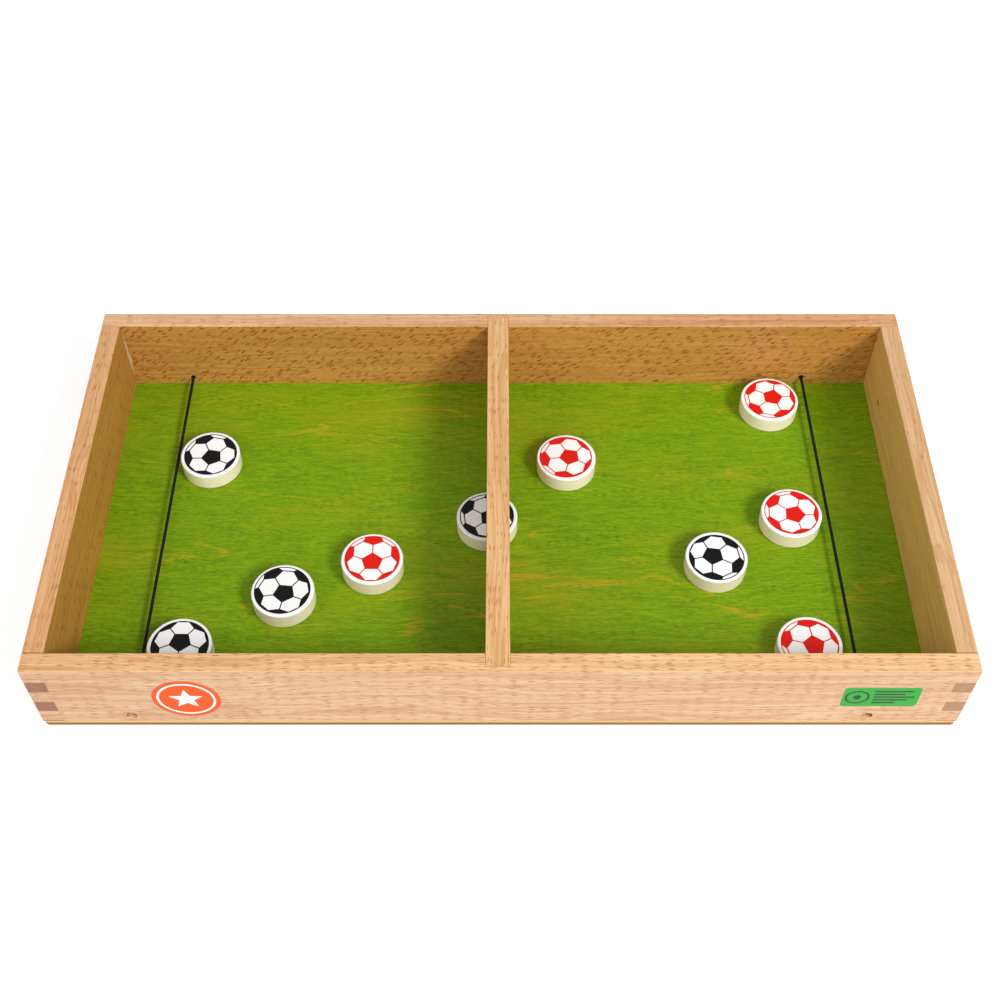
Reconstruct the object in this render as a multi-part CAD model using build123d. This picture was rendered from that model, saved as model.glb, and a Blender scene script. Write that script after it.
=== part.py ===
from build123d import *
import os

# Sling-puck football board: a beech tray on a thin green-stained base, a divider with a low gate,
# an elastic sling across each end, ten wooden discs and two paper labels on the front face.
# +X runs along the long side, +Y away from the labelled front, +Z up from the underside's centre.

# ---- driving dimensions, mm ----
length = 440.0  # outside, along X
width = 230.0  # outside, along Y
height = 50.0  # underside to rim
base_thickness = 4.0
base_corner_radius = 2.5
wall_thickness = 10.0
edge_radius = 0.5  # sanding of every rim edge and outer corner

finger = 8.75  # height of one finger of the corner joints
lowest_finger = 0.9  # what is left of the side board's finger at the bottom edge

divider_thickness = 11.5
divider_x = -1.0
dado_depth = 7.3  # how far the divider's ends are let into the long boards
gate_width = 38.0
gate_height = 16.0

cord_diameter = 1.6
cord_height = 8.8  # cord's axis above the underside
cord_hole_diameter = 3.4
knot_pocket_diameter = 5.0
knot_pocket_depth = 6.5  # from the outer face of the long board
pocket_chamfer = 0.3
knot_diameter = 4.4
knot_length = 3.2
knot_radius = 1.2
sling_centre_length = 32.0  # the stretch that a disc is pulled back against
run_wall_gap = 0.4  # a run starts this far from the board, so that it can swing about the hole
run_centre_gap = 0.2

puck_diameter = 32.0
puck_height = 10.0
puck_edge_radius = 0.8

label_thickness = 0.1
round_label_diameter = 32.2
product_label_size = (36.0, 17.0)
product_label_radius = 2.0

# ---- places, mm ----
# X of each sling where it passes through the front and the back board.
slings = {"left": (-176.3, -176.3), "right": (175.7, 173.1)}

# Centre of each disc on the field. The last black disc stands in the gate.
pucks = {
    "black": [(-158.0, 43.2), (-110.0, -46.2), (-157.8, -78.8), (111.6, -25.3), (-6.8, 1.0)],
    "red": [(-65.9, -26.5), (36.1, 41.2), (151.8, 83.6), (153.9, 3.3), (152.6, -77.8)],
}

# X and Z of each label's centre on the front face.
round_label_centre = (-147.2, 25.2)
product_label_centre = (178.4, 26.9)

# ---- derived ----
frame_height = height - base_thickness
TOLERANCE = 1e-6  # for edges that lie in a known plane
ON_GROUND = (Align.CENTER, Align.CENTER, Align.MIN)
# Bands of height where the side boards' fingers reach the front and back faces.
side_bands = [(0.0, lowest_finger)] + [
    (lowest_finger + finger * n, lowest_finger + finger * (n + 1)) for n in (1, 3)
]
# The long boards' fingers fill the rest.
long_bands = [
    (lowest_finger, lowest_finger + finger),
    (lowest_finger + 2 * finger, lowest_finger + 3 * finger),
    (lowest_finger + 4 * finger, frame_height),
]


def block(size_x, size_y, size_z, x=0.0, y=0.0, z=0.0):
    """A box centred on x, y and standing on height z."""
    return Pos(x, y, z) * Box(size_x, size_y, size_z, align=ON_GROUND)


def rim_edges(solid, shortest):
    """Edges of the rim with at least the given length."""
    edges = solid.edges().filter_by_position(Axis.Z, height - TOLERANCE, height + TOLERANCE)
    return [e for e in edges if e.length > shortest - TOLERANCE]


def corner_edges(solid):
    """Upright edges on the tray's four outer corners."""
    corner = Vector(length / 2, width / 2)
    return [
        e
        for e in solid.edges().filter_by(Axis.Z)
        if (Vector(abs(e.center().X), abs(e.center().Y)) - corner).length < TOLERANCE
    ]


def base_panel():
    """Thin sheet under the whole frame, with its top as the playing field."""
    return extrude(RectangleRounded(length, width, base_corner_radius), base_thickness)


def finger_gaps(bands):
    """Corner blocks that the other pair of boards fills, at each of the given bands."""
    x = (length - wall_thickness) / 2
    y = (width - wall_thickness) / 2
    return [
        block(wall_thickness, wall_thickness, top - bottom, sx * x, sy * y, base_thickness + bottom)
        for bottom, top in bands
        for sx in (-1, 1)
        for sy in (-1, 1)
    ]


def cord_hole(x, side):
    """Hole through a long board with a wider pocket on its outer face for the knot."""
    outer = side * width / 2
    inward = Vector(0, -side, 0)
    plane = Plane(origin=(x, outer, cord_height), x_dir=(1, 0, 0), z_dir=inward)
    through = plane * Cylinder(cord_hole_diameter / 2, wall_thickness, align=ON_GROUND)
    pocket = plane * Cylinder(knot_pocket_diameter / 2, knot_pocket_depth, align=ON_GROUND)
    mouth = plane * Cone(
        knot_pocket_diameter / 2 + pocket_chamfer, knot_pocket_diameter / 2, pocket_chamfer, align=ON_GROUND
    )
    return through + pocket + mouth


def long_wall(side):
    """Front (side -1) or back (side 1) board, with corner fingers, the divider's dado and two cord holes."""
    y = side * (width - wall_thickness) / 2
    wall = block(length, wall_thickness, frame_height, y=y, z=base_thickness)
    for gap in finger_gaps(side_bands):
        wall -= gap
    wall = fillet(rim_edges(wall, wall_thickness) + corner_edges(wall), edge_radius)
    dado_y = side * (width / 2 - wall_thickness + dado_depth / 2)
    wall -= block(divider_thickness, dado_depth, frame_height, divider_x, dado_y, base_thickness)
    for at_front, at_back in slings.values():
        wall -= cord_hole(at_front if side < 0 else at_back, side)
    return wall


def side_wall(side):
    """Left (side -1) or right (side 1) board, whose fingers show as end grain at the front and back."""
    x = side * (length - wall_thickness) / 2
    wall = block(wall_thickness, width, frame_height, x=x, z=base_thickness)
    for gap in finger_gaps(long_bands):
        wall -= gap
    return fillet(rim_edges(wall, width / 2) + corner_edges(wall), edge_radius)


def divider():
    """Board across the middle, flush with the rim, with the gate cut out of its lower edge."""
    span = width - 2 * wall_thickness + 2 * dado_depth
    board = block(divider_thickness, span, frame_height, divider_x, 0, base_thickness)
    board -= block(divider_thickness, gate_width, gate_height, divider_x, 0, base_thickness)
    return fillet(rim_edges(board, width / 2), edge_radius)


def sling(at_front, at_back):
    """One elastic cord as the pieces that its pulled V shape bends between.

    The centre is what a disc is pulled back against, a run swings about its hole on either side of it,
    and the end of the cord in each hole is one piece with its knot.
    """
    shoulder = width / 2 - knot_pocket_depth
    front = Vector(at_front, -shoulder, cord_height)
    back = Vector(at_back, shoulder, cord_height)
    along = (back - front).normalized()
    middle = (front + back) * 0.5

    def tube(start, end, diameter=cord_diameter):
        """Round length of cord between two distances from the middle, positive towards the back."""
        plane = Plane(origin=middle + along * start, x_dir=(0, 0, 1), z_dir=along)
        return plane * Cylinder(diameter / 2, end - start, align=ON_GROUND)

    half = sling_centre_length / 2
    inner = width / 2 - wall_thickness
    held = (back - front).length / 2
    pieces = {"centre": tube(-half, half)}
    for end, side in (("front", -1), ("back", 1)):
        run = sorted((side * (half + run_centre_gap), side * (inner - run_wall_gap)))
        tail = sorted((side * inner, side * held))
        knot = tube(*sorted((side * held, side * (held + knot_length))), knot_diameter)
        knot = fillet(knot.edges().filter_by(GeomType.CIRCLE), knot_radius)
        pieces[f"{end}_run"] = tube(*run)
        pieces[f"{end}_knot"] = knot + tube(*tail)
    return pieces


def puck(x, y):
    """Turned wooden disc lying on the field."""
    disc = Pos(x, y, base_thickness) * Cylinder(puck_diameter / 2, puck_height, align=ON_GROUND)
    return fillet(disc.edges().filter_by(GeomType.CIRCLE), puck_edge_radius)


def front_label(outline, centre):
    """Paper label lying on the front face."""
    x, z = centre
    plane = Plane(origin=(x, -width / 2, z), x_dir=(1, 0, 0), z_dir=(0, -1, 0))
    return plane * extrude(outline, label_thickness)


long_outline = RectangleRounded(*product_label_size, product_label_radius)
nodes = {
    "base_panel": base_panel(),
    "front_wall": long_wall(-1),
    "back_wall": long_wall(1),
    "left_wall": side_wall(-1),
    "right_wall": side_wall(1),
    "divider": divider(),
    "round_label": front_label(Circle(round_label_diameter / 2), round_label_centre),
    "product_label": front_label(long_outline, product_label_centre),
}
for end, (at_front, at_back) in slings.items():
    for piece, shape in sling(at_front, at_back).items():
        nodes[f"{end}_sling_{piece}"] = shape
for team, places in pucks.items():
    for number, (x, y) in enumerate(places, start=1):
        nodes[f"{team}_puck_{number}"] = puck(x, y)

os.makedirs("parts", exist_ok=True)
for name, shape in nodes.items():
    export_step(shape, f"parts/{name}.step")
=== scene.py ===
"""Sling-puck football board: beech walls, a stained field, elastic slings and printed discs."""

import math
from collections import namedtuple
from itertools import permutations

import bpy
from bpy.props import FloatProperty, FloatVectorProperty, PointerProperty
from mathutils import Matrix, Vector


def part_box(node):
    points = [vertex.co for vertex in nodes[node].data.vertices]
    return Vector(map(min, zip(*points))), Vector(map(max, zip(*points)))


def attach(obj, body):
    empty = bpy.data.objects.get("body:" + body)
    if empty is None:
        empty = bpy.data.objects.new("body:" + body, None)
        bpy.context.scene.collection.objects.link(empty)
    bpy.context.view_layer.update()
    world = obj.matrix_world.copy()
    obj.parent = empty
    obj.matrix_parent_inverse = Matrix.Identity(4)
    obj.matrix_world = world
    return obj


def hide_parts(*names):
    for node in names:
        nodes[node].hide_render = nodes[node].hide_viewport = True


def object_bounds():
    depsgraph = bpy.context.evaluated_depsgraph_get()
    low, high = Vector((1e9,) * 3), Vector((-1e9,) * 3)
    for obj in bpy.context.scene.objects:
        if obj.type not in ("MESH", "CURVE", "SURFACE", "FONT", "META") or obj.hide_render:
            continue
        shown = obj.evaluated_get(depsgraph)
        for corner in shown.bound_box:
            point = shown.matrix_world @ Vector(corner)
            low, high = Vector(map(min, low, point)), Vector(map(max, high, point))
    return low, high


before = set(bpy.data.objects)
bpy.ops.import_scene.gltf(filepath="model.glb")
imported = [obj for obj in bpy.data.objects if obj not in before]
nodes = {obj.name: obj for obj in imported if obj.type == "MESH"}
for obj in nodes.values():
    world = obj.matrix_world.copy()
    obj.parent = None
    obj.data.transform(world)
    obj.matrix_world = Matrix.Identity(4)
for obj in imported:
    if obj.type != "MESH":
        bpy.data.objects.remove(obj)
board_low, board_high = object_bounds()

bl_info = {
    "name": "Sling-puck football board",
    "version": (1, 0, 0),
    "blender": (4, 5, 0),
    "location": "View3D > Sidebar > Board",
    "description": "Finishes a wooden sling-puck board and sets it on a pale studio floor",
    "category": "Object",
}

MM = 0.001


def tone(code):
    """Six hex digits of sRGB, as the linear red, green and blue that shaders use."""
    shares = [int(code[i : i + 2], 16) / 255 for i in (0, 2, 4)]
    return [s / 12.92 if s <= 0.04045 else ((s + 0.055) / 1.055) ** 2.4 for s in shares]


def colour(name, description, code):
    """A colour property with its default given as hex digits."""
    return FloatVectorProperty(
        name=name, description=description, subtype="COLOR", min=0, max=1, default=tone(code)
    )


def number(name, description, default, **options):
    """A plain number property."""
    return FloatProperty(name=name, description=description, default=default, **options)


def length(name, description, default):
    """A length property, in metres."""
    return number(name, description, default, unit="LENGTH")


def angle(name, description, degrees):
    """An angle property with its default given in degrees."""
    return number(name, description, math.radians(degrees), subtype="ANGLE")


def span(node, axis):
    """Size of a node along one axis, in metres."""
    low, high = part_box(node)
    return high[axis] - low[axis]


# ---------------------------------------------------------------- settings


class BeechSettings(bpy.types.PropertyGroup):
    """Colours and figure of the beech boards."""

    light: colour("Early wood", "Palest part of a board's edge and outer face", "F1C799")
    dark: colour("Late wood", "Darkest streaks of a board's edge and outer face", "CF925D")
    # Painted shade: the faces around the field are the same beech as the top; these two colours
    # paint them darker and more golden for the shade inside the box.
    inside: colour("Inner faces", "Warm tone of the faces around the field", "C7934C")
    inside_dark: colour("Inner streaks", "Darker streaks of the inner faces", "AA7030")
    end_grain: colour("End grain", "Fingers and board ends", "B88D6F")
    fleck: colour("Rays", "Short dark ray flecks", "A05A28")
    chip: colour("Torn grain", "Pale torn fibres and dried glue", "E5D4BE")
    ray_length: length("Ray spacing", "Spacing of rays along the grain", 8.0 * MM)
    ray_width: length("Ray width", "Spacing of rays across the grain", 0.8 * MM)


class FieldSettings(bpy.types.PropertyGroup):
    """Colours of the stained base sheet."""

    stain: colour("Stain", "Main green of the field", "85A40A")
    pale: colour("Thin stain", "Yellowish veins where the veneer took less stain", "ABA11F")
    deep: colour("Deep stain", "Dark streaks where it took more", "628C0A")
    veneer: colour("Outer veneers", "Bare outer veneers on the edge and below", "DABC84")
    core: colour("Core veneer", "Darker core on the sheet's edge", "955F30")


class SlingSettings(bpy.types.PropertyGroup):
    """The elastic cords."""

    cover: colour("Cover", "Braided cover of the elastic", "0B0B0D")
    braid: length("Braid pitch", "Length of one crossing", 0.9 * MM)
    overlap: length("Overlap", "How far a run reaches into the centre", 6 * MM)


class PuckSettings(bpy.types.PropertyGroup):
    """The discs and their printed footballs."""

    paint: colour("Top paint", "White paint of a disc's top", "FFFEFD")
    bare: colour("Side", "Pale lacquered side", "FFF3D6")
    black: colour("Black ink", "Print of the black team", "08080A")
    red: colour("Red ink", "Print of the red team", "E21704")
    print_share: number("Print size", "Print radius as a share of the disc's", 0.894)
    outline: number("Outline", "Ring width as a share of the print radius", 0.036)
    seam: number("Seam", "Seam width as a share of the print radius", 0.04)
    panel: angle("Panel radius", "Angle from a dark panel's centre to its corners", 20.9)
    zoom: number("Ball size", "Drawn ball's radius as a share of the print's", 1.07)
    tilt: angle("Ball tilt", "Angle that the printed ball is tipped by", 8.3)


class LabelSettings(bpy.types.PropertyGroup):
    """The two labels on the front face."""

    orange: colour("Round label", "Ground of the round label", "D95006")
    white: colour("Round marks", "Ring and star of the round label", "F7F3EE")
    green: colour("Long label", "Ground of the long label", "2E9C35")
    ink: colour("Long marks", "Ball and bars of the long label", "123018")


class StageSettings(bpy.types.PropertyGroup):
    """Floor, light and camera."""

    floor: colour("Floor", "Pale floor", "C0C0C0")
    glow: number("Floor glow", "Light that the floor gives off itself", 0.66)
    key: number("Key", "Watts of the small main light, high at the front right", 48.3)
    front: number("Front", "Watts of the broad light in front", 14.7)
    side: number("Side", "Watts of the broad light on the left", 11.6)
    sky: number("Sky", "Strength of the even white surroundings", 0.44)
    eye: FloatVectorProperty(
        name="Camera",
        description="Where the camera stands",
        subtype="TRANSLATION",
        default=(0, -0.4402, 0.5982),
    )
    down: angle("Camera tilt", "Angle of view below level", 52.28)
    lens: number("Lens", "Focal length in millimetres", 50.03)


SETTINGS = {
    "beech": BeechSettings,
    "field": FieldSettings,
    "sling": SlingSettings,
    "puck": PuckSettings,
    "label": LabelSettings,
    "stage": StageSettings,
}


def settings(part):
    """The current settings of one part of the board."""
    return getattr(bpy.context.scene, "board_" + part)


# ---------------------------------------------------------------- materials


class Wire:
    """A value in a material. Arithmetic on it adds Math nodes."""

    def __init__(self, finish, socket):
        self.finish = finish
        self.socket = socket

    def _math(self, operation, *values):
        return self.finish.node("ShaderNodeMath", {"operation": operation}, dict(enumerate(values)))

    def __add__(self, other):
        return self._math("ADD", self, other)

    def __radd__(self, other):
        return self._math("ADD", other, self)

    def __sub__(self, other):
        return self._math("SUBTRACT", self, other)

    def __rsub__(self, other):
        return self._math("SUBTRACT", other, self)

    def __mul__(self, other):
        return self._math("MULTIPLY", self, other)

    def __rmul__(self, other):
        return self._math("MULTIPLY", other, self)

    def __truediv__(self, other):
        return self._math("DIVIDE", self, other)

    def __neg__(self):
        return self._math("MULTIPLY", self, -1)

    def __abs__(self):
        return self._math("ABSOLUTE", self)

    def rise(self, low, high):
        """0 below low and 1 above high, with a smooth step between."""
        return self.finish.node(
            "ShaderNodeMapRange",
            {"interpolation_type": "SMOOTHSTEP"},
            {"Value": self, "From Min": low, "From Max": high},
        )


class Finish:
    """A material being made: a Principled shader and the nodes that feed it."""

    def __init__(self, name, **constants):
        self.material = bpy.data.materials.new(name)
        self.material.use_nodes = True
        self.tree = self.material.node_tree
        self.shader = self.tree.nodes["Principled BSDF"]
        for socket, value in constants.items():
            words = socket.replace("_", " ").title().replace("Ior", "IOR")
            self.shader.inputs[words].default_value = value

    def node(self, kind, options=None, inputs=None, output=0):
        """Adds a node, with its options set first, then its inputs as values or wires."""
        made = self.tree.nodes.new(kind)
        for name, value in (options or {}).items():
            setattr(made, name, value)
        for name, value in (inputs or {}).items():
            if isinstance(value, Wire):
                self.tree.links.new(value.socket, made.inputs[name])
            else:
                made.inputs[name].default_value = value
        return Wire(self, made.outputs[output])

    def feed(self, socket, wire):
        """Links a wire to one of the shader's sockets."""
        self.tree.links.new(wire.socket, self.shader.inputs[socket])

    def place(self):
        """X, Y and Z over the surface in the board's own frame, in metres."""
        here = self.node("ShaderNodeTexCoord", output="Object")
        return self.parts(here)

    def facing(self):
        """X, Y and Z of the surface's direction."""
        way = self.node("ShaderNodeTexCoord", output="Normal")
        return self.parts(way)

    def parts(self, vector):
        """X, Y and Z of a vector."""
        return [
            self.node("ShaderNodeSeparateXYZ", inputs={0: vector}, output=axis) for axis in range(3)
        ]

    def vector(self, x, y, z):
        """A vector from its X, Y and Z."""
        return self.node("ShaderNodeCombineXYZ", inputs={0: x, 1: y, 2: z})

    def noise(self, x, y, z, detail=2.0, roughness=0.5):
        """Soft noise from 0 to 1, with features about one unit across."""
        where = self.vector(x, y, z)
        inputs = {"Vector": where, "Scale": 1.0, "Detail": detail, "Roughness": roughness}
        return self.node("ShaderNodeTexNoise", inputs=inputs)

    def flecks(self, u, v, size, share):
        """Spots in cells of one unit: 1 in a spot and 0 outside. A share of the cells has one."""
        options = {"voronoi_dimensions": "2D"}
        inputs = {"Vector": self.vector(u, v, 0.0), "Scale": 1.0}
        distance = self.node("ShaderNodeTexVoronoi", options, inputs, "Distance")
        cell = self.node("ShaderNodeTexVoronoi", options, inputs, "Color")
        chance = self.node("ShaderNodeSeparateColor", inputs={0: cell})
        return (1 - distance.rise(size * 0.6, size)) * chance.rise(1 - share, 1 - share + 0.12)

    def mix(self, mask, first, second):
        """The first colour where the mask is 0 and the second where it is 1."""
        first, second = (c if isinstance(c, Wire) else (*c, 1) for c in (first, second))
        inputs = {0: mask, 6: first, 7: second}
        return self.node("ShaderNodeMix", {"data_type": "RGBA"}, inputs, output=2)

    def bump(self, height, depth):
        """Feeds a relief of the given depth, in metres, to the shader."""
        inputs = {"Height": height, "Distance": depth, "Strength": 1.0}
        self.feed("Normal", self.node("ShaderNodeBump", inputs=inputs))


# A board: axis of its grain, side that its inner face looks to, place in the figure, shades of its
# top edge, outer face, inner face and end grain, shares of short rays outside and of slanted flecks
# inside, and how much darker it gets along the grain, per metre. The outer and inner shades are
# painted shade and light: they make the same beech darker on the outer faces, and darker or paler
# on each inner face, than on top, in place of the light those faces get.
Board = namedtuple("Board", "grain inward seed edge outer inner ends rays slashes drift")
BOARDS = {
    "front_wall": Board(
        grain=0,
        inward=1,
        seed=0.0,
        edge=(1.03, 1.05, 1.01),
        # Painted shade: the front face is made darker than the top edge.
        outer=(0.74, 0.78, 0.89),
        inner=(0.9, 0.9, 0.9),
        ends=(0.8, 0.8, 0.8),
        rays=0.5,
        slashes=0.5,
        drift=-0.4,
    ),
    "back_wall": Board(
        grain=0,
        inward=-1,
        seed=3.7,
        edge=(0.93, 0.91, 0.93),
        outer=(0.83, 0.83, 0.9),
        inner=(1.07, 1.1, 1.04),
        ends=(0.8, 0.8, 0.8),
        rays=0.35,
        slashes=0.7,
        drift=1.1,
    ),
    "left_wall": Board(
        grain=1,
        inward=1,
        seed=7.1,
        edge=(0.94, 0.88, 0.8),
        outer=(0.85, 0.85, 0.88),
        inner=(1.0, 1.0, 0.8),
        ends=(0.61, 0.55, 0.48),
        rays=0.3,
        slashes=0.25,
        drift=0.0,
    ),
    "right_wall": Board(
        grain=1,
        inward=-1,
        seed=11.3,
        edge=(0.88, 0.94, 0.92),
        outer=(0.8, 0.82, 0.9),
        # Painted light: this inner face looks away from the key lamp and is made much paler.
        inner=(1.55, 1.95, 2.4),
        ends=(0.82, 0.9, 0.78),
        rays=0.15,
        slashes=0.1,
        drift=0.0,
    ),
    "divider": Board(
        grain=1,
        inward=0,
        seed=15.9,
        edge=(0.98, 0.98, 0.86),
        outer=(0.95, 0.95, 0.95),
        inner=(1.1, 1.15, 1.1),
        ends=(0.9, 0.9, 0.9),
        rays=0.35,
        slashes=0.3,
        drift=0.0,
    ),
}

# Angle between the grain and the slanted flecks of the inner faces.
SLANT = math.radians(30)


def shaded(base, shade):
    """A colour times a shade for each of its channels."""
    return [min(1.0, c * k) for c, k in zip(base, shade)]


def beech(name):
    """Clear-coated beech for one board, with painted shade on its outer faces and painted shade and
    light on its inner faces.
    """
    s = settings("beech")
    board = BOARDS[name]
    grain = board.grain
    f = Finish("beech_" + name, coat_weight=0.06, coat_roughness=0.3, specular_ior_level=0.35)
    place, facing = f.place(), f.facing()
    along, width, up = place[grain] + board.seed, place[1 - grain], place[2]
    # The growth rings wander, so every stretched pattern is read off slightly shifted planes.
    wander = (f.noise(along * 11, width * 16, up * 16) - 0.5) * (13 * MM)
    ripple = (f.noise(along * 45, width * 90, up * 90) - 0.5) * (0.5 * MM)
    across, height = width + wander + ripple, up + wander + ripple
    # The short rays are laid out on a slanted plane, which shows them on the top edge and outside.
    over = width + up * 0.75 + wander

    bands = f.noise(along * 4, across * 210, height * 260).rise(0.3, 0.7)
    rings = f.noise(along * 5, across * 900, height * 640, roughness=0.6).rise(0.36, 0.64)
    fibres = f.noise(along * 35, across * 2200, height * 2200, roughness=0.7)
    rays = f.flecks(along / s.ray_length, over / s.ray_width, 0.26, board.rays)
    small = f.flecks(along * 200, over * 2100, 0.3, board.rays)
    figure = bands * 0.32 + rings * 0.46 + fibres.rise(0.3, 0.7) * 0.22
    figure = figure + place[grain] * board.drift
    side = facing[1 - grain] * (board.inward or 1)
    # Outer faces take each board's outer shade: painted shade, darker than the top edge.
    outer = (-side).rise(0.6, 0.9)
    light = f.mix(outer, shaded(s.light, board.edge), shaded(s.light, board.outer))
    dark = f.mix(outer, shaded(s.dark, board.edge), shaded(s.dark, board.outer))
    face = f.mix(figure, light, dark)
    face = f.mix(rays * 0.75, face, s.fleck)
    face = f.mix(small * 0.15, face, s.fleck)

    # Inner faces are cut so that the rays show as long slanted flecks.
    sway = (f.noise(along * 230, 0.0, up * 230) - 0.5) * (3.6 * MM)
    run = along * math.cos(SLANT) + up * math.sin(SLANT)
    rise = up * math.cos(SLANT) - along * math.sin(SLANT) + sway
    patches = f.noise(along * 22, 3.0, up * 40, detail=1).rise(0.2, 0.5)
    slashes = f.flecks(run * 135 + sway * 60, rise * 480, 0.32, board.slashes) * patches
    ticks = f.flecks(run * 230, rise * 820, 0.34, board.slashes)
    lines = f.noise(along * 16, across * 90, height * 760, detail=4, roughness=0.65)
    lines = lines.rise(0.34, 0.68)
    marks = slashes * 0.85 + ticks * 0.4
    # The inner faces' darker golden tone and each board's inner shade are painted shade and light;
    # their lines, flecks, torn spots and knot are the wood's real figure.
    inner_streaks_and_shade = shaded(s.inside_dark, board.inner)
    inner_wood_and_shade = f.mix(lines * 0.6 + fibres * 0.4, shaded(s.inside, board.inner), inner_streaks_and_shade)
    inner_wood_and_shade = f.mix(marks * 0.85, inner_wood_and_shade, shaded(s.fleck, (0.85, 0.68, 0.36)))
    inner = (side if board.inward else abs(side)).rise(0.6, 0.9)
    if name in CHIPS:
        inner_wood_and_shade = f.mix(chips(f, place, CHIPS[name]) * 0.6, inner_wood_and_shade, s.chip)
    if name in KNOTS:
        inner_wood_and_shade = f.mix(knot(f, place, KNOTS[name]), inner_wood_and_shade, shaded(s.fleck, (0.8, 0.75, 0.6)))

    # Finger tips and board ends show end grain.
    pores = f.noise(along * 300, width * 1500, up * 1500, detail=3)
    arcs = f.noise(along * 40, across * 250, height * 800)
    pale_end, dark_end = shaded(s.end_grain, board.ends), shaded(s.fleck, board.ends)
    ends = f.mix(pores * 0.4 + arcs * 0.4, pale_end, dark_end)
    cut = abs(facing[grain]).rise(0.6, 0.9)

    wood = f.mix(cut, f.mix(inner, face, inner_wood_and_shade), ends)
    if grain:
        # A thin dark line shows on top where a cross board meets the long walls.
        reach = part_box("back_wall")[0].y if board.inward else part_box(name)[1].y
        joint = 1 - abs(abs(place[1]) - reach).rise(0.1 * MM, 0.4 * MM)
        wood = f.mix(joint * facing[2].rise(0.5, 0.9) * 0.55, wood, s.fleck)
    f.feed("Base Color", wood)
    f.feed("Roughness", 0.42 + fibres * 0.16 + rays * 0.1)
    f.bump(fibres * 0.5 - rays * 0.3 * (1 - inner) - marks * inner * 0.6, 0.05 * MM)
    return f.material


# A small knot in an inner face, as X, Y and Z in millimetres.
KNOTS = {"right_wall": (210.0, 75.0, 20.5)}


def knot(f, place, centre):
    """1 in a small dark knot with a tail along the grain."""
    dy, dz = [(p - c * MM) / MM for p, c in zip(place[1:], centre[1:])]
    ragged = f.noise(*[axis * 700 for axis in place])
    core = dy * dy * 0.35 + dz * dz * 0.6 + ragged
    tail = dy * dy * 0.04 + (dz - dy * 0.25) * (dz - dy * 0.25) * 1.6 + ragged
    return (1 - core.rise(0.9, 2.2)) * 0.75 + (1 - tail.rise(0.6, 1.8)) * 0.25


# Places where fibres tore out or glue dried, in millimetres: (X, Y, Z) of each spot and how far it
# reaches along each axis.
CHIPS = {
    "back_wall": [
        ((-176.4, 105, 9.0), (2.7, 4, 2.5)),
        ((-209.7, 105, 27), (0.5, 4, 24)),
        ((-209.2, 105, 24), (0.9, 4, 4)),
    ],
    "left_wall": [((-210, 104.7, 30), (4, 0.4, 20))],
}


def chips(f, place, spots):
    """1 over pale ragged spots."""
    ragged = f.noise(*[axis * 900 for axis in place], detail=3, roughness=0.7) * 1.3
    total = 0.0
    for centre, reach in spots:
        dx, dy, dz = [(p - c * MM) / (r * MM) for p, c, r in zip(place, centre, reach)]
        spread = dx * dx + dy * dy + dz * dz
        total = total + (1 - (spread + ragged).rise(0.9, 1.3))
    return total.rise(0.0, 1.0)


# Height at which the sheet's dark core gives way to its pale top veneer.
VENEER_HEIGHT = 2.5 * MM


def stained_sheet():
    """Plywood stained green on top, with bare veneers on its edge and underside."""
    s = settings("field")
    f = Finish("stained_sheet", specular_ior_level=0.16)
    x, y, z = f.place()
    wander = (f.noise(x * 12, y * 22, 0.0) - 0.5) * (18 * MM)
    ripple = (f.noise(x * 160, y * 200, 2.0, detail=3) - 0.5) * (2.2 * MM)
    shifted = y + wander + ripple
    clouds = f.noise(x * 10, y * 20, 5.0, detail=4)
    broad = f.noise(x * 30, shifted * 260, 3.1, detail=3, roughness=0.65)
    fine = f.noise(x * 100, (y + wander) * 1500, 7.7, detail=3, roughness=0.75)
    mottle = f.noise(x * 340, y * 1300, 1.3, roughness=0.7)
    dash_areas = f.noise(x * 25, y * 70, 6.0).rise(0.48, 0.6)
    dashes = f.flecks(x * 190, shifted * 1300, 0.32, 0.45) * dash_areas
    depth = (fine * 0.55 + broad * 0.08 + mottle * 0.37).rise(0.4, 0.6)
    green = f.mix(depth, s.deep, s.stain)
    # Thin veins follow the level lines of a stretched noise, and come and go.
    level = f.noise(x * 5, shifted * 36, 9.3, detail=3, roughness=0.45)
    broken = f.noise(x * 18, shifted * 60, 4.4, detail=3).rise(0.43, 0.54)
    vein = (1 - abs(level - 0.5).rise(0.002, 0.007)) * broken * fine.rise(0.35, 0.55)
    green = f.mix((clouds * 0.65 + broad * 0.35).rise(0.46, 0.66) * 0.35, green, s.pale)
    green = f.mix(vein * 0.8, green, shaded(s.pale, (1.2, 0.97, 1.0)))
    green = f.mix(dashes * 0.6, green, shaded(s.deep, (0.7, 0.5, 0.6)))

    grain = f.noise(x * 12, y * 500, z * 3000, detail=3)
    core = 1 - z.rise(VENEER_HEIGHT - 0.1 * MM, VENEER_HEIGHT + 0.1 * MM)
    edge = f.mix(core, s.veneer, s.core)
    facing_up = f.facing()[2]
    top = facing_up.rise(0.5, 0.8)
    below = (-facing_up).rise(0.5, 0.8)
    bare = f.mix(below, edge, s.veneer)
    bare = f.mix(grain * 0.35, bare, s.core)
    f.feed("Base Color", f.mix(top, bare, green))
    f.feed("Roughness", 0.5 + fine * 0.14)
    f.bump(fine, 0.04 * MM)
    return f.material


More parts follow.
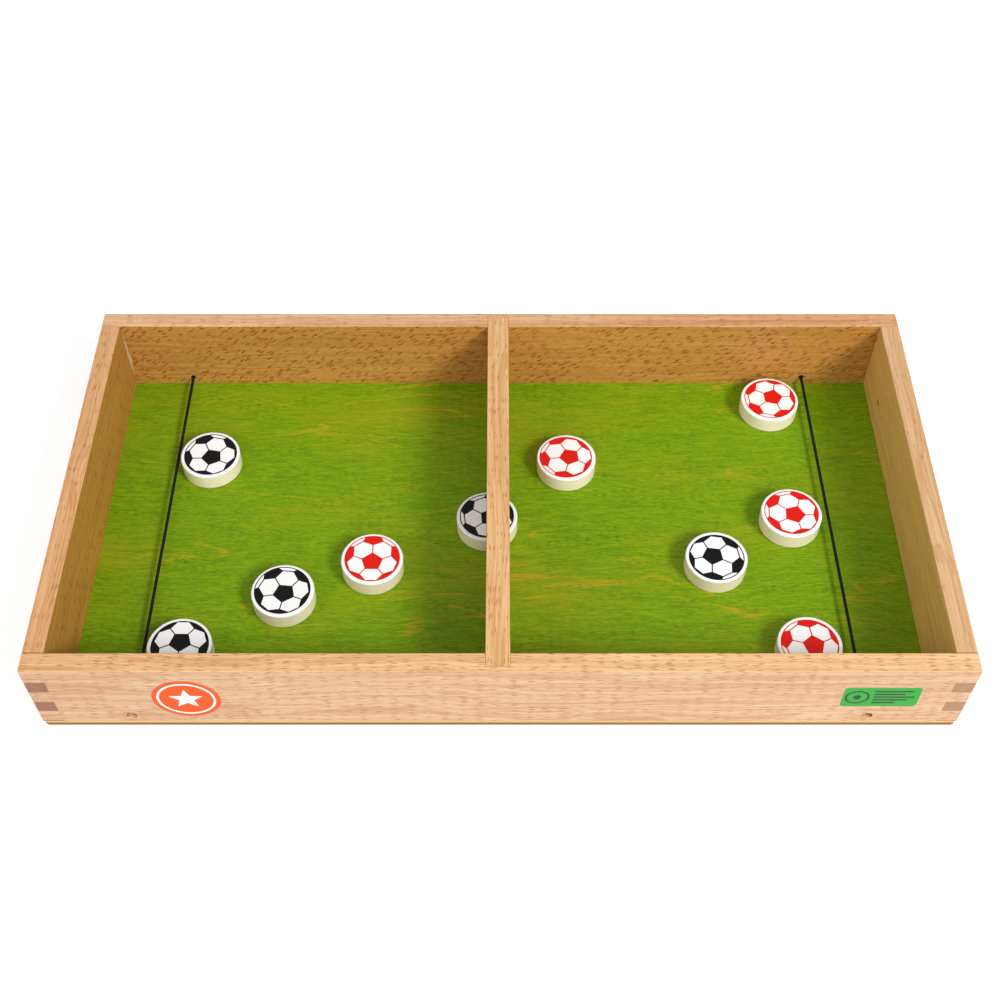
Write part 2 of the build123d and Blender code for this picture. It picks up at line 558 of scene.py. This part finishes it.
def braided_elastic():
    """Black braided cover of the slings."""
    s = settings("sling")
    f = Finish("braided_elastic", specular_ior_level=0.25)
    x, y, z = f.place()
    turn = 1.0 / s.braid
    left = f.noise((x + y) * turn, (x - y) * turn * 0.35, z * turn, detail=1)
    right = f.noise((x - y) * turn, (x + y) * turn * 0.35, z * turn + 9.0, detail=1)
    threads = left * 0.5 + right * 0.5
    lit = [c * 2.4 + 0.003 for c in s.cover]
    f.feed("Base Color", f.mix(threads.rise(0.35, 0.7), s.cover, lit))
    f.feed("Roughness", 0.5 + threads * 0.25)
    f.bump(threads, 0.08 * MM)
    return f.material


def puck_lacquer():
    """Pale lacquered wood with a white painted top."""
    s = settings("puck")
    f = Finish("puck_lacquer", coat_weight=0.2, coat_roughness=0.25)
    x, y, z = f.place()
    fibres = f.noise(x * 900, y * 900, z * 120, detail=3, roughness=0.6)
    mottle = f.noise(x * 60, y * 60, z * 60)
    brush = f.noise(x * 240, y * 240, z * 240)
    side = f.mix(fibres * 0.35 + mottle * 0.2, s.bare, [c * 0.85 for c in s.bare])
    paint = f.mix(brush * 0.12, s.paint, [c * 0.86 for c in s.paint])
    top_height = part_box("black_puck_1")[1].z
    top = z.rise(top_height - 1.5 * MM, top_height - 0.5 * MM)
    f.feed("Base Color", f.mix(top, side, paint))
    f.feed("Roughness", 0.34 + fibres * 0.12)
    f.bump(brush * top + fibres * (1 - top) * 0.6, 0.03 * MM)
    return f.material


def ink(name, base):
    """Printed ink with a little unevenness."""
    f = Finish(name, specular_ior_level=0.24)
    x, y, z = f.place()
    body = f.noise(x * 700, y * 700, z * 700)
    f.feed("Base Color", f.mix(body * 0.35, base, [c * 0.75 + 0.01 for c in base]))
    f.feed("Roughness", 0.32 + body * 0.12)
    f.bump(body, 0.01 * MM)
    return f.material


def paper(name, base):
    """Coated label paper."""
    f = Finish(name, specular_ior_level=0.14)
    x, y, z = f.place()
    fibre = f.noise(x * 1200, y * 1200, z * 1200)
    wave = f.noise(x * 90, y * 90, z * 90)
    f.feed("Base Color", f.mix(fibre * 0.2 + wave * 0.15, base, [c * 0.82 for c in base]))
    f.feed("Roughness", 0.38 + fibre * 0.1)
    f.bump(fibre + wave, 0.015 * MM)
    return f.material


def painted_floor():
    """Plain white studio floor, which gives off a little light."""
    s = settings("stage")
    white = (1, 1, 1, 1)
    f = Finish("studio_floor", roughness=0.9, emission_color=white, emission_strength=s.glow)
    x, y, z = f.place()
    clouds = f.noise(x * 4, y * 4, z)
    f.feed("Base Color", f.mix(clouds * 0.02, s.floor, [c * 0.9 for c in s.floor]))
    return f.material


def coat(node, material):
    """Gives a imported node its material."""
    obj = nodes[node]
    obj.data.materials.clear()
    obj.data.materials.append(material)
    for face in obj.data.polygons:
        face.material_index = 0


# ---------------------------------------------------------------- shapes

# Thickness of the discs' ink and of the labels' marks, and how far each lies off its surface.
INK_THICKNESS = 0.04 * MM
MARK_THICKNESS = 0.02 * MM
PRINT_GAP = 0.01 * MM


def link(name, mesh, material):
    """A new object with one material, in the scene."""
    mesh.materials.append(material)
    made = bpy.data.objects.new(name, mesh)
    bpy.context.scene.collection.objects.link(made)
    return made


def flat_mesh(name, loops, thickness):
    """A thin shape that stands on z 0. An outline inside another is a hole in it."""
    curve = bpy.data.curves.new(name, "CURVE")
    curve.dimensions = "2D"
    curve.fill_mode = "BOTH"
    curve.extrude = thickness / 2
    for loop in loops:
        spline = curve.splines.new("POLY")
        spline.points.add(len(loop) - 1)
        for point, (x, y) in zip(spline.points, loop):
            point.co = (x, y, thickness / 2, 1)
        spline.use_cyclic_u = True
    drawn = bpy.data.objects.new(name, curve)
    bpy.context.scene.collection.objects.link(drawn)
    graph = bpy.context.evaluated_depsgraph_get()
    mesh = bpy.data.meshes.new_from_object(drawn.evaluated_get(graph))
    bpy.data.objects.remove(drawn)
    bpy.data.curves.remove(curve)
    return mesh


def circle(radius, sides=96, centre=(0.0, 0.0)):
    """Corners of a round outline."""
    angles = [math.tau * n / sides for n in range(sides)]
    return [(centre[0] + radius * math.cos(a), centre[1] + radius * math.sin(a)) for a in angles]


def bar(left, bottom, right, top):
    """Corners of an upright rectangle."""
    return [(left, bottom), (right, bottom), (right, top), (left, top)]


def tube_mesh(name, stations, sides=28):
    """A round closed tube through (centre, radius) stations along a straight line."""
    axis = (stations[-1][0] - stations[0][0]).normalized()
    side = axis.orthogonal().normalized()
    other = axis.cross(side)
    points, faces = [], []
    for centre, radius in stations:
        for n in range(sides):
            turn = math.tau * n / sides
            points.append(centre + radius * (math.cos(turn) * side + math.sin(turn) * other))
    for ring in range(len(stations) - 1):
        a, b = ring * sides, (ring + 1) * sides
        faces += [(a + n, a + (n + 1) % sides, b + (n + 1) % sides, b + n) for n in range(sides)]
    faces.append(tuple(reversed(range(sides))))
    faces.append(tuple(range(len(points) - sides, len(points))))
    mesh = bpy.data.meshes.new(name)
    mesh.from_pydata([tuple(p) for p in points], [], faces)
    mesh.shade_smooth()
    return mesh


# ---------------------------------------------------------------- printed football

# Angle between the centres of neighbouring dark panels of a football.
NEIGHBOUR_ANGLE = math.atan(2)

# Dark panels count as neighbours up to this many radians further apart.
NEIGHBOUR_SLACK = 0.01

# White panels narrower than this many outline widths are left out, and this many must be left.
LEAST_PANEL = 1.2
FEWEST_PANELS = 5

# Edges shorter than this share of the print radius have no direction worth using.
TINY = 1e-6


def clipped(outline, edges):
    """The part of a convex outline to the left of every edge (point, point, offset inward)."""
    for start, end, inset in edges:
        along = (end - start).normalized()
        inward = Vector((-along.y, along.x))
        depth = [(p - start).dot(inward) - inset for p in outline]
        kept = []
        for n, point in enumerate(outline):
            before, d0, d1 = outline[n - 1], depth[n - 1], depth[n]
            if (d0 < 0) != (d1 < 0):
                kept.append(before.lerp(point, d0 / (d0 - d1)))
            if d1 >= 0:
                kept.append(point)
        outline = kept
        if len(outline) < 3:
            return []
    return outline


def ball_directions():
    """Centres of a football's twelve dark panels, the first straight up, the second towards +Y."""
    spots = [Vector((0, 0, 1))]
    for n in range(5):
        turn = Matrix.Rotation(math.tau * n / 5, 3, "Z")
        spots.append(turn @ Vector((0, math.sin(NEIGHBOUR_ANGLE), math.cos(NEIGHBOUR_ANGLE))))
    return spots + [-s for s in spots]


def white_panels(s):
    """Outlines of a football's white panels, seen from straight above in a disc of radius 1."""
    tip = Matrix.Rotation(s.tilt, 3, "X")
    spots = [tip @ spot for spot in ball_directions()]
    near = NEIGHBOUR_ANGLE + NEIGHBOUR_SLACK
    rim = [Vector(p) for p in circle(1 - s.outline)]
    ring = [(rim[n - 1], rim[n], 0.0) for n in range(len(rim))]
    # Every panel is cut out of a square wider than the disc.
    square = [Vector(p) for p in bar(-2, -2, 2, 2)]
    panels = []
    for i, a in enumerate(spots):
        for j, b in enumerate(spots[:i]):
            for c in spots[:j]:
                middle = (a + b + c) / 3
                if max(a.angle(b), b.angle(c), c.angle(a)) > near or middle.z <= 0:
                    continue
                # A white panel's corners lie on the lines between the dark panels around it.
                pairs = permutations((a, b, c), 2)
                corners = [p.slerp(q, s.panel / p.angle(q)) for p, q in pairs]
                flat = [s.zoom * (v.xy if v.z > 0 else v.xy.normalized()) for v in corners]
                flat.sort(key=lambda v: math.atan2(v.y - middle.y, v.x - middle.x))
                sides = [(flat[n - 1], flat[n], s.seam / 2) for n in range(len(flat))]
                panels.append(clipped(square, sides + ring))
    return [p for p in panels if len(p) > 2 and panel_width(p) > LEAST_PANEL * s.outline]


def panel_width(outline):
    """Least width of a convex outline over its own edges' directions."""
    widths = []
    for n, end in enumerate(outline):
        edge = end - outline[n - 1]
        if edge.length > TINY:
            across = Vector((-edge.y, edge.x)).normalized()
            reach = [p.dot(across) for p in outline]
            widths.append(max(reach) - min(reach))
    return min(widths)


# ---------------------------------------------------------------- operators


class BOARD_OT_boards(bpy.types.Operator):
    """Finishes the four walls and the divider in clear-coated beech"""

    bl_idname = "board.boards"
    bl_label = "Beech boards"

    def execute(self, context):
        for board in BOARDS:
            coat(board, beech(board))
        return {"FINISHED"}


class BOARD_OT_field(bpy.types.Operator):
    """Stains the base sheet's top and leaves its edge and underside bare"""

    bl_idname = "board.field"
    bl_label = "Stained field"

    def execute(self, context):
        coat("base_panel", stained_sheet())
        return {"FINISHED"}


# How far a cord goes on past the run's end at the board, which brings it into its hole, and half
# the length of the step where it narrows.
ROOT = 1.0 * MM
STEP = 0.1 * MM

# A cord's radius at its start, after the step and at its tip, as shares of the sling's radius.
ROOT_SHARE = 0.96
STEP_SHARE = 0.95
TIP_SHARE = 0.9


class BOARD_OT_slings(bpy.types.Operator):
    """Makes the elastic slings. Their runs reach into the centre, so a pulled sling stays whole"""

    bl_idname = "board.slings"
    bl_label = "Elastic slings"

    def execute(self, context):
        material = braided_elastic()
        overlap = settings("sling").overlap
        for end in ("left", "right"):
            centre_node = f"{end}_sling_centre"
            radius = span(centre_node, 2) / 2
            for run in ("front", "back"):
                node = f"{end}_sling_{run}_run"
                coat(f"{end}_sling_{run}_knot", material)
                outer, inner = run_ends(node, radius)
                along = (inner - outer).normalized()
                # The cord starts inside its hole and narrows where it enters the centre.
                stations = [
                    (outer - along * ROOT, radius * ROOT_SHARE),
                    (outer, radius),
                    (inner - along * STEP, radius),
                    (inner + along * STEP, radius * STEP_SHARE),
                    (inner + along * overlap, radius * TIP_SHARE),
                ]
                piece = link(f"{node}_cord", tube_mesh(node, stations), material)
                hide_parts(node)
                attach(piece, node)
            coat(centre_node, material)
        return {"FINISHED"}


def run_ends(node, radius):
    """Middle of a run's end at the board and of its end at the centre."""
    points = [v.co for v in nodes[node].data.vertices]
    reaches = [abs(p.y) for p in points]
    slack = radius * 0.2
    ends = []
    for reach in (max(reaches), min(reaches)):
        ring = [p for p in points if abs(abs(p.y) - reach) < slack]
        ends.append(sum(ring, Vector()) / len(ring))
    return ends


class BOARD_OT_discs(bpy.types.Operator):
    """Paints the ten discs"""

    bl_idname = "board.discs"
    bl_label = "Discs"

    def execute(self, context):
        material = puck_lacquer()
        for node in nodes:
            if "_puck_" in node:
                coat(node, material)
        return {"FINISHED"}


# Turn of each disc's print, in degrees, and how far off centre it was printed, in millimetres.
PRINTS = {
    "black_puck_1": (25, (0.2, -0.1)),
    "black_puck_2": (30, (-0.2, 0.2)),
    "black_puck_3": (180, (0.3, 0.0)),
    "black_puck_4": (-117, (0.0, -0.3)),
    "black_puck_5": (60, (-0.1, 0.1)),
    "red_puck_1": (0, (0.1, 0.2)),
    "red_puck_2": (97, (-0.3, 0.0)),
    "red_puck_3": (130, (0.2, 0.1)),
    "red_puck_4": (50, (0.0, 0.2)),
    "red_puck_5": (75, (-0.1, -0.2)),
}


class BOARD_OT_prints(bpy.types.Operator):
    """Prints a football on the top of every disc"""

    bl_idname = "board.prints"
    bl_label = "Printed footballs"

    def execute(self, context):
        s = settings("puck")
        radius = span("black_puck_1", 0) / 2 * s.print_share
        panels = white_panels(s)
        if len(panels) < FEWEST_PANELS:
            raise RuntimeError("the football has lost its panels")
        loops = [circle(radius)]
        loops += [[(p.x * radius, p.y * radius) for p in panel] for panel in panels]
        teams = {"black": ink("black_ink", s.black), "red": ink("red_ink", s.red)}
        for node, (turn, (off_x, off_y)) in PRINTS.items():
            low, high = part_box(node)
            middle = (low + high) / 2
            mesh = flat_mesh(node, loops, INK_THICKNESS)
            piece = link(f"{node}_print", mesh, teams[node.split("_")[0]])
            spot = Vector((middle.x + off_x * MM, middle.y + off_y * MM, high.z + PRINT_GAP))
            turned = Matrix.Rotation(math.radians(turn), 4, "Z")
            piece.matrix_world = Matrix.Translation(spot) @ turned
            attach(piece, node)
        return {"FINISHED"}


class BOARD_OT_labels(bpy.types.Operator):
    """Makes the two labels with plain shapes in place of lettering"""

    bl_idname = "board.labels"
    bl_label = "Labels"

    def execute(self, context):
        s = settings("label")
        coat("round_label", paper("orange_paper", s.orange))
        coat("product_label", paper("green_paper", s.green))
        self.mark("round_label", round_marks(), ink("white_ink", s.white), "orange_label")
        self.mark("product_label", long_marks(), ink("green_ink", s.ink), "green_label")
        return {"FINISHED"}

    def mark(self, node, loops, material, slot):
        """Lays printed shapes on a label's face."""
        low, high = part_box(node)
        name = f"{node}_marks"
        piece = link(name, flat_mesh(name, loops, MARK_THICKNESS), material)
        spot = Vector(((low.x + high.x) / 2, low.y - PRINT_GAP, (low.z + high.z) / 2))
        piece.matrix_world = Matrix.Translation(spot) @ Matrix.Rotation(math.pi / 2, 4, "X")
        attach(piece, "board")


# Sizes on the round label, as shares of its radius.
RING_OUTSIDE = 0.86
RING_INSIDE = 0.79
STAR_TIP = 0.52
STAR_NOTCH = 0.22


def round_marks():
    """A thin ring with a five-pointed star."""
    radius = span("round_label", 0) / 2
    star = []
    for n in range(10):
        reach = radius * (STAR_TIP if n % 2 == 0 else STAR_NOTCH)
        turn = math.pi / 2 + math.pi * n / 5
        star.append((reach * math.cos(turn), reach * math.sin(turn)))
    return [circle(radius * RING_OUTSIDE), circle(radius * RING_INSIDE), star]


# The long label's ball: the radius of each outline as a share of the label's height, and its sides.
BALL_OUTLINES = ((0.34, 48), (0.28, 48), (0.13, 5))

# The long label's bars: the length of each as a share of the label's width.
BAR_LENGTHS = (0.50, 0.40, 0.54, 0.46, 0.30)


def long_marks():
    """A small ball beside five plain bars."""
    width, height = span("product_label", 0), span("product_label", 2)
    ball = (-width * 0.31, 0.0)
    loops = [circle(height * share, sides, ball) for share, sides in BALL_OUTLINES]
    for n, share in enumerate(BAR_LENGTHS):
        top = height * (0.34 - n * 0.15)
        loops.append(bar(-width * 0.1, top - height * 0.07, width * (share - 0.1), top))
    return loops


# Half the floor's side, and how far every lamp stands from the middle of the board, in metres.
FLOOR_REACH = 4.0
LAMP_DISTANCE = 2.6

# Gap between the board's underside and the floor.
FLOOR_GAP = 0.05 * MM


class BOARD_OT_stage(bpy.types.Operator):
    """Sets the pale floor, the soft lights and the camera"""

    bl_idname = "board.stage"
    bl_label = "Studio"

    def execute(self, context):
        s = settings("stage")
        scene = context.scene
        scene.view_settings.view_transform = "Standard"
        mesh = bpy.data.meshes.new("studio_floor")
        corners = bar(-FLOOR_REACH, -FLOOR_REACH, FLOOR_REACH, FLOOR_REACH)
        mesh.from_pydata([(x, y, 0) for x, y in corners], [], [(0, 1, 2, 3)])
        floor = link("studio_floor", mesh, painted_floor())
        floor.location.z = board_low.z - FLOOR_GAP

        world = bpy.data.worlds.new("studio")
        scene.world = world
        world.use_nodes = True
        background = world.node_tree.nodes["Background"]
        background.inputs["Color"].default_value = (1, 1, 1, 1)
        background.inputs["Strength"].default_value = s.sky

        self.lamp("key", towards=(0.83, -0.75, 1.0), size=0.7, power=s.key)
        self.lamp("front", towards=(0.0, -0.9, 0.5), size=1.6, power=s.front)
        self.lamp("side", towards=(-0.8, -0.35, 0.7), size=1.6, power=s.side)

        camera = bpy.data.cameras.new("camera")
        camera.lens = s.lens
        eye = bpy.data.objects.new("camera", camera)
        eye.location = s.eye
        eye.rotation_euler = (math.pi / 2 - s.down, 0, 0)
        scene.collection.objects.link(eye)
        scene.camera = eye
        return {"FINISHED"}

    def lamp(self, name, towards, size, power):
        """A square soft light that stands that way from the board's middle and faces it."""
        light = bpy.data.lights.new(name, "AREA")
        light.size = size
        light.energy = power
        lamp = bpy.data.objects.new(name, light)
        way = Vector(towards).normalized()
        lamp.location = way * LAMP_DISTANCE
        lamp.rotation_euler = way.to_track_quat("Z", "Y").to_euler()
        bpy.context.scene.collection.objects.link(lamp)


OPERATORS = (
    BOARD_OT_boards,
    BOARD_OT_field,
    BOARD_OT_slings,
    BOARD_OT_discs,
    BOARD_OT_prints,
    BOARD_OT_labels,
    BOARD_OT_stage,
)


class BOARD_PT_panel(bpy.types.Panel):
    """Every step of finishing the board"""

    bl_idname = "BOARD_PT_panel"
    bl_label = "Sling-puck board"
    bl_space_type = "VIEW_3D"
    bl_region_type = "UI"
    bl_category = "Board"

    def draw(self, context):
        for step in OPERATORS:
            self.layout.operator(step.bl_idname)
        for part, group in SETTINGS.items():
            box = self.layout.box()
            box.label(text=part.capitalize())
            for name in group.__annotations__:
                box.prop(settings(part), name)


def register():
    for cls in (*SETTINGS.values(), *OPERATORS, BOARD_PT_panel):
        bpy.utils.register_class(cls)
    for part, group in SETTINGS.items():
        setattr(bpy.types.Scene, "board_" + part, PointerProperty(type=group))


def unregister():
    for part in SETTINGS:
        delattr(bpy.types.Scene, "board_" + part)
    for cls in reversed((*SETTINGS.values(), *OPERATORS, BOARD_PT_panel)):
        bpy.utils.unregister_class(cls)


def main():
    """Makes the whole board."""
    register()
    bpy.ops.board.boards()
    bpy.ops.board.field()
    bpy.ops.board.slings()
    bpy.ops.board.discs()
    bpy.ops.board.prints()
    bpy.ops.board.labels()
    bpy.ops.board.stage()


if __name__ == "__main__":
    main()
